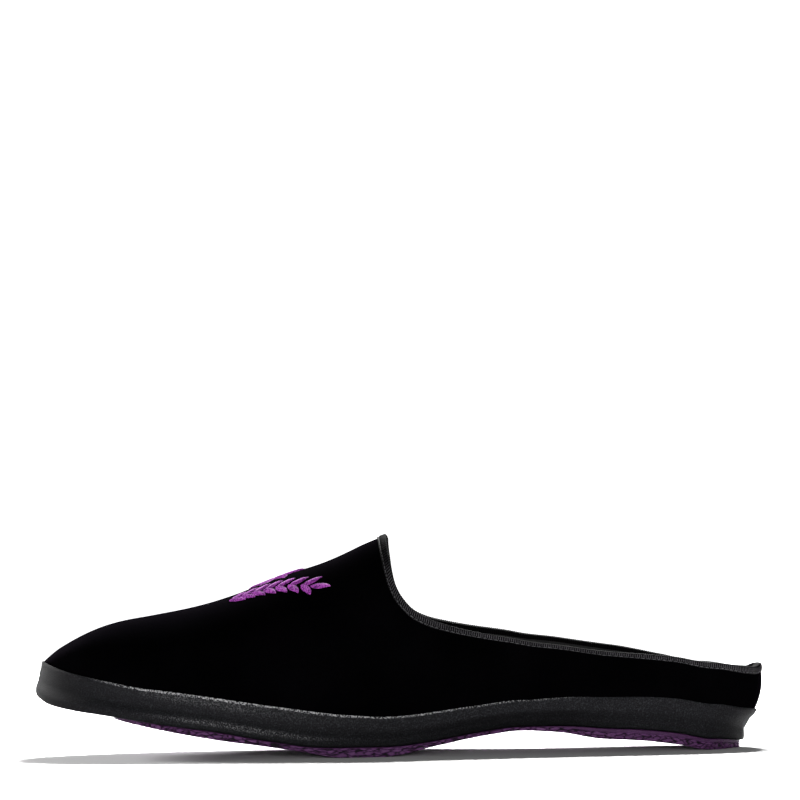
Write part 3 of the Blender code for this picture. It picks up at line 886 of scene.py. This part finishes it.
def ribbon_cloth():
    """Black ribbon crossed by fine warp threads; the crown mark paints highlight on the rib crowns and edge beads,
    shade in the grooves, and shade on the fold, the inside and the throat's top.
    """
    finish = Finish("ribbed_ribbon")
    warp = finish.noise(5200.0, 1.0)
    patch = finish.noise(90.0, 3.0)
    tone = finish.ramp(
        finish.attribute("crown") * 0.8 + warp * 0.35 + patch * 0.2 - 0.2,
        [(0.22, (0.0004, 0.0004, 0.0005)), (0.60, (0.010, 0.0094, 0.0106)), (1.0, (0.095, 0.090, 0.098))],
    )
    normal = finish.bump(warp, 0.00006, 0.8)
    return finish.surface(Base_Color=tone, Roughness=patch * 0.2 + 0.55, Specular_IOR_Level=0.01, Normal=normal)


ribbon = add_piece(
    "ribbed_collar_binding",
    np.concatenate(rings),
    tube_faces(len(rings), len(marks), closed=True),
    [ribbon_cloth()],
    # crown holds each ring's painted highlight and painted shade
    marks={"crown": np.concatenate([painted_lightness * painted_throat_shade for painted_lightness in light])},
)
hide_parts("collar_binding")
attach(ribbon, "root")


def seam_stitches(finish):
    """Geometry Nodes: one rounded stitch at even steps along the seam, turned along it."""
    graph, source = growth_tree("seam_stitches", ("Pitch", "Half length", "Radius"))
    seam_line = {"Curve": source.other("Geometry"), "Length": source.other("Pitch")}
    steps = graph.node("GeometryNodeCurveToPoints", {"mode": "LENGTH"}, seam_line)
    ball = graph.node("GeometryNodeMeshUVSphere", {}, {"Segments": 8, "Rings": 6})
    radius = source.other("Radius")
    size = graph.node("ShaderNodeCombineXYZ", {}, {"X": radius, "Y": radius, "Z": source.other("Half length")})
    stitches = {"Points": steps, "Instance": ball, "Rotation": steps.other("Rotation"), "Scale": size}
    return grown(graph, graph.node("GeometryNodeInstanceOnPoints", {}, stitches), finish)


seam_thread = satin_thread("seam_thread", (0.040, 0.040, 0.043), (0.120, 0.120, 0.125))
seam = grow(
    "collar_seam",
    [ribbon_leg(SEAM[0], far - SEAM[1], flat)[::RIB_STEPS]],
    True,
    seam_stitches(seam_thread),
    {"Pitch": STITCH_PITCH, "Half length": STITCH_HALF, "Radius": STITCH_RADIUS},
)
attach(seam, "root")

# Insole: a thin padded footbed covered with the lining leather, lying on the sole inside the upper.
INSOLE_THICKNESS = 0.0040
INSOLE_EDGE = 0.0010  # rounded border
INSOLE_DIP = 0.0006  # how far the middle sinks in
DIP_BORDER = 0.35  # share of the width over which it does so
INSOLE_SIDE = ((0.0, 0.0), (0.0, 0.6), (0.2, 0.85), (0.6, 0.97), (1.0, 1.0))  # inset in edges, height
LADDER = 28  # spans across
HIDDEN_SPANS = 4  # spans across a face that nothing shows


def cover(ring, spans, height):
    """Closes a ring with a ladder from side to side: more points, and faces counted from the ring's first."""
    half = len(ring) // 2
    points, rows = [], [[0]]
    count = len(ring)
    for k in range(1, half):
        left, right = ring[k], ring[-k]
        for s in range(1, spans):
            spot = left + (right - left) * s / spans
            points.append((spot[0], spot[1], height(spot[0], spot[1], s / spans)))
        rows.append([k, *range(count, count + spans - 1), len(ring) - k])
        count += spans - 1
    rows.append([half])
    faces = []
    for near_row, far_row in zip(rows, rows[1:]):
        if len(near_row) == 1:
            faces += [(near_row[0], far_row[s + 1], far_row[s]) for s in range(spans)]
        elif len(far_row) == 1:
            faces += [(near_row[s], near_row[s + 1], far_row[0]) for s in range(spans)]
        else:
            faces += [(near_row[s], near_row[s + 1], far_row[s + 1], far_row[s]) for s in range(spans)]
    return points, faces


def slab(rings, first, last):
    """Closed body of rings with a ladder over the first and the last; each is its spans and its height."""
    count = len(rings[0])
    points = [tuple(spot) for ring in rings for spot in ring]
    faces = tube_faces(len(rings), count)
    for start, (spans, height) in ((0, first), ((len(rings) - 1) * count, last)):
        extra, more = cover(rings[start // count], spans, height)
        offset = len(points) - count
        faces += [tuple(start + i if i < count else i + offset for i in face) for face in more]
        points += extra
    return points, faces


def insole_under(x, y, across):
    return float(band_foot(x) + FLOOR + GAP)


def insole_top(x, y, across):
    """The footbed dips a little between its borders."""
    border = min(across, 1 - across)
    return insole_under(x, y, across) + INSOLE_THICKNESS - INSOLE_DIP * float(ease(border / DIP_BORDER))


foot_ring = beside(OUTER[0], -(UPPER_WALL + GAP))
footbed_rings = []
for inset, rise in INSOLE_SIDE:
    ring = beside(foot_ring, -inset * INSOLE_EDGE)
    ring[:, 2] = band_foot(ring[:, 0]) + FLOOR + GAP + INSOLE_THICKNESS * rise
    footbed_rings.append(ring)
points, faces = slab(footbed_rings, (HIDDEN_SPANS, insole_under), (LADDER, insole_top))
footbed = add_piece("footbed", points, faces, [lining_leather()])
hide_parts("insole")
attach(footbed, "root")

# Band: the side of the moulded rubber cup sole, black and pebbled, with a thin edge against the velvet, a
# soft crease below its middle and a lip that stands out over the tread. It turns in under the heel.
BAND_EDGE = 0.0005
BAND_LIP = 0.0013
BAND_UNDERCUT = 0.0050
BAND_FOOT_IN = 0.0008
LEAN_POWER = 2.0
LEAN_DEPTH = 0.6
TOE_TURN = 0.08
EDGE_BEAD = 0.00015  # raised rim of the upper edge
LIP_FOOT = 0.08  # share of the height over which the lower edge is rounded
BAND_SIDE = (
    # height, out
    (0.08, 0.75),
    (0.22, 1.00),
    (0.32, 0.66),
    (0.41, 0.05),
    (0.50, -0.24),
    (0.60, -0.16),
    (0.84, 0.10),
    (0.94, 0.20),
    (1.00, 0.05),
)
BAND_LEAN = (
    # along, lateral, medial, lip
    (0.00, 0.40, 0.40, 0.55),
    (0.04, 0.28, 0.28, 0.80),
    (0.10, 0.16, 0.16, 1.00),
    (0.30, 0.00, 0.00, 1.00),
    (0.50, -0.13, -0.23, 1.00),
    (0.65, -0.48, -0.65, 0.70),
    (0.78, -0.24, -0.34, 0.80),
    (0.90, -0.28, -0.28, 0.60),
    (0.97, -0.85, -0.85, 0.20),
    (1.00, -1.25, -1.25, 0.00),
)
BAND_STEPS = 36
BAND_SPANS = 12  # across its underside
PAINTED_LIGHT_TABLE = (
    # along, painted highlight on the upper edge, the lip and the upper half, painted shade in the hollow and at the
    # ends
    (0.00, 0.00, 0.00, 0.00, 0.00, 1.40),
    (0.03, 0.10, 0.00, 0.00, 0.00, 1.20),
    (0.08, 0.50, 0.05, 0.05, 0.00, 0.50),
    (0.18, 2.10, 0.30, 0.20, 0.10, 0.10),
    (0.30, 2.30, 0.42, 0.10, 0.15, 0.00),
    (0.42, 1.50, 0.20, 0.02, 0.20, 0.00),
    (0.50, 1.30, 0.00, 0.00, 0.35, 0.00),
    (0.60, 0.90, 0.00, 0.00, 0.80, 0.00),
    (0.68, 0.40, 0.00, 0.00, 0.90, 0.00),
    (0.78, 0.00, 0.00, 0.00, 0.45, 0.00),
    (0.90, 0.00, 0.00, 0.00, 0.15, 0.10),
    (0.96, 0.00, 0.00, 0.00, 0.05, 0.60),
    (1.00, 0.00, 0.00, 0.00, 0.00, 1.00),
)
EDGE_FADE = (0.93, 0.06)  # height where this painted highlight starts, over what height it comes in
LIP_FADE = (0.25, 0.19)
UPPER_FADE = (0.55, 0.3)
HOLLOW_FADE = (0.62, 0.15)
PEBBLE = 0.00004
PEBBLE_NOISE = (260.0, 900.0)  # coarse and fine, per metre


def lean_share(height, along):
    """How much of the band's lean is reached at a height: late along the sides, early at the round ends."""
    down = np.clip(1 - height, 0, 1)
    round_end = np.maximum(1 - ease(along / TOE_TURN), heel_part(along))
    return (1 - round_end) * down**LEAN_POWER + round_end * ease(down / LEAN_DEPTH)


def side_out(height, lip):
    """How far the side stands out at a height, with the lower edge rounded in to the foot."""
    if height >= LIP_FOOT:
        return float(monotone(BAND_SIDE, 1, height)) * lip
    turn = math.sqrt(1 - (1 - height / LIP_FOOT) ** 2)
    return (BAND_SIDE[0][1] * lip + BAND_FOOT_IN) * turn - BAND_FOOT_IN


def band_ring(edge, height):
    along = share(edge[:, 0])
    lean = np.where(SIDE < 0, monotone(BAND_LEAN, 1, along), monotone(BAND_LEAN, 2, along)) * BAND_UNDERCUT
    lip = monotone(BAND_LEAN, 3, along) * BAND_LIP
    ring = beside(edge, side_out(height, lip) + lean * lean_share(height, along))
    foot = band_foot(STATION)
    ring[:, 2] = foot + (band_top(STATION) - foot) * height
    return ring


def pebbled(ring, amount):
    """Moves a ring's points by fine even noise, for the uneven moulding."""
    moved = ring.copy()
    for i, spot in enumerate(ring):
        coarse, fine = (noise.noise(Vector(spot) * scale) for scale in PEBBLE_NOISE)
        value = coarse + 0.5 * fine
        moved[i, :2] += PLAN_NORMAL[i] * value * amount
    return moved


recess_foot = beside(OUTER[0], GAP)
recess_foot[:, 2] = band_foot(recess_foot[:, 0]) + FLOOR
recess_top = beside(OUTER[1], GAP)
bead = beside(recess_top, BAND_EDGE * 0.25)
bead[:, 2] += EDGE_BEAD * 0.8
bead_out = beside(recess_top, BAND_EDGE * 0.7)
bead_out[:, 2] += EDGE_BEAD
edge = beside(OUTER[1], GAP + BAND_EDGE)
heights = np.linspace(1, 0, BAND_STEPS + 1)
side_rings = [pebbled(band_ring(edge, height), PEBBLE) for height in heights]
side_rings[-1][:, 2] = band_foot(side_rings[-1][:, 0])
BAND_FOOT_RING = side_rings[-1]
band_rings = [recess_foot, recess_top, bead, bead_out, *side_rings]


def painted_light_at(height):
    """Painted light on the side at a height, in station order: painted highlights on the upper edge, the lip and the
    upper half.

    Below 0 is painted shade: in the hollow under the waist and round the ends.
    """
    along = share(STATION)
    edge_highlight = monotone(PAINTED_LIGHT_TABLE, 1, along) * ease((height - EDGE_FADE[0]) / EDGE_FADE[1])
    lip_highlight = monotone(PAINTED_LIGHT_TABLE, 2, along) * ease(1 - abs(height - LIP_FADE[0]) / LIP_FADE[1])
    upper_highlight = monotone(PAINTED_LIGHT_TABLE, 3, along) * ease((height - UPPER_FADE[0]) / UPPER_FADE[1])
    hollow = monotone(PAINTED_LIGHT_TABLE, 4, along) * ease((HOLLOW_FADE[0] - height) / HOLLOW_FADE[1])
    ends = monotone(PAINTED_LIGHT_TABLE, 5, along)
    return edge_highlight + lip_highlight + upper_highlight - (hollow + ends)


painted_light_rings = [np.zeros(len(LOOP)), *[painted_light_at(1.0)] * 3, *(painted_light_at(height) for height in heights)]


def cup_floor(x, y, across):
    return float(band_foot(x) + FLOOR)


def band_under(x, y, across):
    return float(band_foot(x))


def pebbled_rubber():
    """Moulded black rubber with a leather-like pebble, with painted highlights as light grey specks and painted shade
    where the side's marks say so.
    """
    finish = Finish("pebbled_rubber")
    painted_light_and_shade = finish.attribute("painted_light_and_shade")
    pebble = finish.cells(1900.0, "SMOOTH_F1")
    grit = finish.noise(3400.0, 3.0)
    cloud = finish.noise(28.0, 4.0)
    mixed = pebble * 0.4 + grit * 0.6
    # Marks below 0 darken the tone: painted shade.
    tone = finish.ramp(
        mixed + cloud * 0.15 + painted_light_and_shade.maths("MINIMUM", 0.0) * 0.25 - 0.07,
        [(0.25, (0.0038, 0.0039, 0.0044)), (0.50, (0.0118, 0.0121, 0.0136)), (0.80, (0.040, 0.0408, 0.045))],
    )
    # Marks above 0 mix in light grey specks: painted highlight.
    speckle = finish.noise(2100.0, 3.0) * 7.0 - 3.4
    tone = finish.mix(painted_light_and_shade.maths("MAXIMUM", 0.0) * speckle, tone, (0.42, 0.42, 0.43, 1.0))
    normal = finish.bump(mixed, 0.00022, 0.8)
    return finish.surface(Base_Color=tone, Roughness=cloud * 0.20 + 0.48, Specular_IOR_Level=0.025, Normal=normal)


points, faces = slab(band_rings, (HIDDEN_SPANS, cup_floor), (BAND_SPANS, band_under))
# The side's painted highlight and painted shade, kept on its points.
painted_light_and_shade = np.concatenate(painted_light_rings).tolist()
painted_light_and_shade += [0.0] * (len(points) - len(painted_light_and_shade))
band = add_piece("rubber_band_sole", points, faces, [pebbled_rubber()], marks={"painted_light_and_shade": painted_light_and_shade})
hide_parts("sole_band")
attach(band, "root")

# Tread: a sheet of purple rubber whose side and underside are crinkled into ragged chunks, with painted shade that
# makes the cracks between them dark. A smooth strip, painted darker as shade, runs above the chunks from the waist to
# the heel.
OUTSOLE_ENDS = (0.105, 0.962)
OUTSOLE_FRONT_CAP = 0.10
OUTSOLE_BACK_CAP = 0.085
OUTSOLE_INSET = 0.0001
TREAD_RIBS = 520
TREAD_LEVELS = 20
UNDER_SPANS = 56
CRINKLE = 0.0008
CHUNK = (0.0034, 0.0013)  # length and height of a chunk on the side
CHUNK_MEAN = 0.75
CHUNK_SPREAD = (0.25, 7.3)  # how much the chunks' heights differ, and its noise
CHUNK_BEND = (0.45, 0.9)  # how far noise bends the chunks' borders, and its scale
CHUNK_GRIT = (0.18, 3.7)  # height of the grit on them, and its scale
CRACK = 0.20  # how far a crack reaches into a chunk
TREAD_SEED = 7
UNDER_CHUNK = 0.0034
UNDER_RELIEF = 0.0007
UNDER_SLICE = 5.0  # the layer of chunks that the underside shows
UNDER_TOP = 0.8  # chunk height that stays on the floor
UNDER_BORDER = 12  # one over the border that stays whole
HEEL_STRIP = (0.66, 0.76)  # the smooth strip comes in between these shares of the length
STRIP_DEPTH = 0.30
STRIP_FADE = 0.10
# Mark of the smooth strip, lower than the chunks': painted shade.
STRIP_MARK = 0.50
CROWDING = (0.6, 0.4)  # shares of points crowded towards the ends, and spread evenly


def tread_outline(count):
    """Plan of the tread inside the band's foot, with its own round ends."""
    half = len(BAND_FOOT_RING) // 2
    sides = (BAND_FOOT_RING[: half + 1], np.vstack([BAND_FOOT_RING[:1], BAND_FOOT_RING[: half - 1 : -1]]))
    front, back = place(OUTSOLE_ENDS[0]), place(OUTSOLE_ENDS[1])
    turn = np.linspace(0, np.pi, count + 1)
    x = front + (back - front) * (CROWDING[0] * (1 - np.cos(turn)) / 2 + CROWDING[1] * turn / np.pi)
    closing = cap((x - front) / (OUTSOLE_FRONT_CAP * LENGTH)) * cap((back - x) / (OUTSOLE_BACK_CAP * LENGTH))
    edges = []
    for side, way in zip(sides, (1, -1)):
        order = np.argsort(side[:, 0])
        y = np.interp(x, side[order, 0], side[order, 1]) + way * OUTSOLE_INSET
        middle = ridge_line(x)
        edges.append(middle + (y - middle) * closing)
    return np.vstack([np.column_stack([x, edges[0]]), np.column_stack([x, edges[1]])[-2:0:-1]])


noise.seed_set(TREAD_SEED)  # without a seed noise_vector gives other crinkles at every run


def chunks(spot):
    """Ragged chunks: 0 in a crack, up to about 1 on a chunk; each chunk has its own height."""
    spot = Vector(spot)
    spot = spot + CHUNK_BEND[0] * noise.noise_vector(spot * CHUNK_BEND[1])
    distances, centres = noise.voronoi(spot)
    gap = distances[1] - distances[0]
    high = CHUNK_MEAN + CHUNK_SPREAD[0] * noise.noise(centres[0] * CHUNK_SPREAD[1])
    return float(ease(gap / CRACK)) * high + CHUNK_GRIT[0] * noise.noise(spot * CHUNK_GRIT[1])


plan = tread_outline(TREAD_RIBS)
tangent = np.roll(plan, -1, axis=0) - np.roll(plan, 1, axis=0)
tangent /= np.linalg.norm(tangent, axis=1, keepdims=True)
plan_out = np.column_stack([tangent[:, 1], -tangent[:, 0]])
plan_run = run_length(plan)
high, low = band_foot(plan[:, 0]) - GAP, tread_height(plan[:, 0])
strip = ease((share(plan[:, 0]) - HEEL_STRIP[0]) / (HEEL_STRIP[1] - HEEL_STRIP[0])) * STRIP_DEPTH
tread_rings, chunk_and_crack_shade_marks = [], []
for level in np.linspace(0, 1, TREAD_LEVELS + 1):
    ring = np.column_stack([plan, high + (low - high) * level])
    rough = ease((level - strip) / STRIP_FADE)
    for i, spot in enumerate(ring):
        value = chunks((plan_run[i] / CHUNK[0], 0.0, spot[2] / CHUNK[1]))
        ring[i, :2] += plan_out[i] * (value - CHUNK_MEAN) * CRINKLE * rough[i]
        # Cracks and the smooth strip get low marks, which the tread's material paints dark as shade.
        chunk_and_crack_shade_marks.append(value * rough[i] + STRIP_MARK * (1 - rough[i]))
    tread_rings.append(ring)


def tread_top(x, y, across):
    return float(band_foot(x)) - GAP


def tread_under(x, y, across):
    """Underside: shallow cracks cut up into the sheet, so that nothing reaches below the floor."""
    value = chunks((x / UNDER_CHUNK, y / UNDER_CHUNK, UNDER_SLICE))
    border = min(1.0, UNDER_BORDER * min(across, 1 - across))
    return float(tread_height(x)) + UNDER_RELIEF * float(np.clip(UNDER_TOP - value, 0, 1)) * border


def crinkled_rubber():
    """Purple crepe-like rubber: chunks lighter or darker at random, with painted shade that makes the cracks nearly
    black and the strip darker.
    """
    finish = Finish("crinkled_purple_rubber")
    ragged = finish.noise(1300.0, 4.0, Distortion=1.0)
    cloud = finish.noise(120.0, 3.0)
    # Low marks darken the tone: painted shade in the cracks and on the strip.
    depth = finish.attribute("chunk_and_crack_shade") * 0.75 + ragged * 0.35 + cloud * 0.15 - 0.15
    tone = finish.ramp(
        depth,
        [
            (0.16, (0.0030, 0.0005, 0.0040)),
            (0.36, (0.0280, 0.0070, 0.0330)),
            (0.60, (0.0800, 0.0260, 0.0920)),
            (0.95, (0.1600, 0.0680, 0.1800)),
        ],
    )
    normal = finish.bump(ragged, 0.0004, 0.8)
    return finish.surface(Base_Color=tone, Roughness=ragged * 0.3 + 0.42, Specular_IOR_Level=0.15, Normal=normal)


points, faces = slab(tread_rings, (HIDDEN_SPANS, tread_top), (UNDER_SPANS, tread_under))
lowest = len(points) - (TREAD_RIBS - 1) * (UNDER_SPANS - 1)
chunk_and_crack_shade_marks += [STRIP_MARK] * (lowest - len(chunk_and_crack_shade_marks))
for x, y, z in points[lowest:]:
    # The underside's cracks get low marks too: painted shade.
    chunk_and_crack_shade_marks.append(CHUNK_MEAN - (z - float(tread_height(x))) / UNDER_RELIEF)
tread = add_piece("crinkled_tread", points, faces, [crinkled_rubber()], marks={"chunk_and_crack_shade": chunk_and_crack_shade_marks})
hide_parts("outsole")
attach(tread, "root")

# Floor, backdrop and light of a plain studio, and the camera at the photograph's place: level with the
# collar, square to the shoe's outer side, and rolled a little.
CAMERA_DISTANCE = 1.3
CAMERA_HEIGHT = 0.0524
CAMERA_ROLL = 0.9  # degrees
CAMERA_TILT = 3.76
PIXELS_PER_MM = 2.547
PICTURE = 800
SENSOR = 36.0
AIR_LIGHT = 0.07  # light that comes evenly from all round


def studio_white(name, glow):
    """Matt white paper, with a glow where light falls through it from behind."""
    finish = Finish(name)
    cloth = finish.noise(40.0, 2.0)
    tone = finish.ramp(cloth, [(0.0, (0.93, 0.93, 0.93)), (1.0, (0.96, 0.96, 0.96))])
    return finish.surface(
        Base_Color=tone,
        Roughness=0.9,
        Specular_IOR_Level=0.0,
        Emission_Color=(1.0, 1.0, 1.0, 1.0),
        Emission_Strength=glow,
    )


def sheet_of_paper(name, corners, glow):
    mesh = bpy.data.meshes.new(name)
    mesh.from_pydata(corners, [], [(0, 1, 2, 3)])
    mesh.materials.append(studio_white(name, glow))
    return in_scene(name, mesh)


sheet_of_paper("studio_floor", [(-3, -2, 0), (3, -2, 0), (3, 2.2, 0), (-3, 2.2, 0)], 0.0)
sheet_of_paper("lit_backdrop", [(-5, 6, -0.5), (5, 6, -0.5), (5, 6, 2.2), (-5, 6, 2.2)], 1.1)


def soft_box(name, spot, target, size, watts, spread=180):
    light = bpy.data.lights.new(name, "AREA")
    light.shape = "RECTANGLE"
    light.size, light.size_y = size
    light.energy = watts
    light.spread = math.radians(spread)
    lamp = in_scene(name, light)
    lamp.location = spot
    lamp.rotation_euler = (Vector(target) - Vector(spot)).to_track_quat("-Z", "Y").to_euler()


soft_box("back_top", (0.12, 1.05, 1.07), (0.0, 0.0, 0.0), (0.40, 0.30), 90.0)
soft_box("toe_side", (-1.25, 0.85, 0.52), (-0.1, 0.0, 0.0), (0.3, 0.25), 26.0)
soft_box("floor_wash", (0.0, 1.5, 1.3), (0.0, 2.1, 0.0), (3.0, 0.6), 120.0, 110)
soft_box("front_fill", (0.0, -1.9, 0.20), (0.0, 0.0, 0.05), (1.6, 0.25), 22.0)

world = bpy.data.worlds.new("studio_air")
world.use_nodes = True
air = world.node_tree.nodes["Background"]
air.inputs["Color"].default_value = (1.0, 1.0, 1.0, 1.0)
air.inputs["Strength"].default_value = AIR_LIGHT
bpy.context.scene.world = world
bpy.context.scene.view_settings.view_transform = "Standard"

lens = bpy.data.cameras.new("studio_camera")
lens.sensor_width = SENSOR
lens.lens = SENSOR * CAMERA_DISTANCE * 1000 * PIXELS_PER_MM / PICTURE
lens.clip_start = 0.05
lens.clip_end = 20.0
camera = in_scene("studio_camera", lens)
tilt = Matrix.Rotation(math.radians(90 + CAMERA_TILT), 4, "X")
roll = Matrix.Rotation(math.radians(CAMERA_ROLL), 4, "Y")
camera.matrix_world = Matrix.Translation((SHIFT.x, -CAMERA_DISTANCE, CAMERA_HEIGHT)) @ roll @ tilt
bpy.context.scene.camera = camera
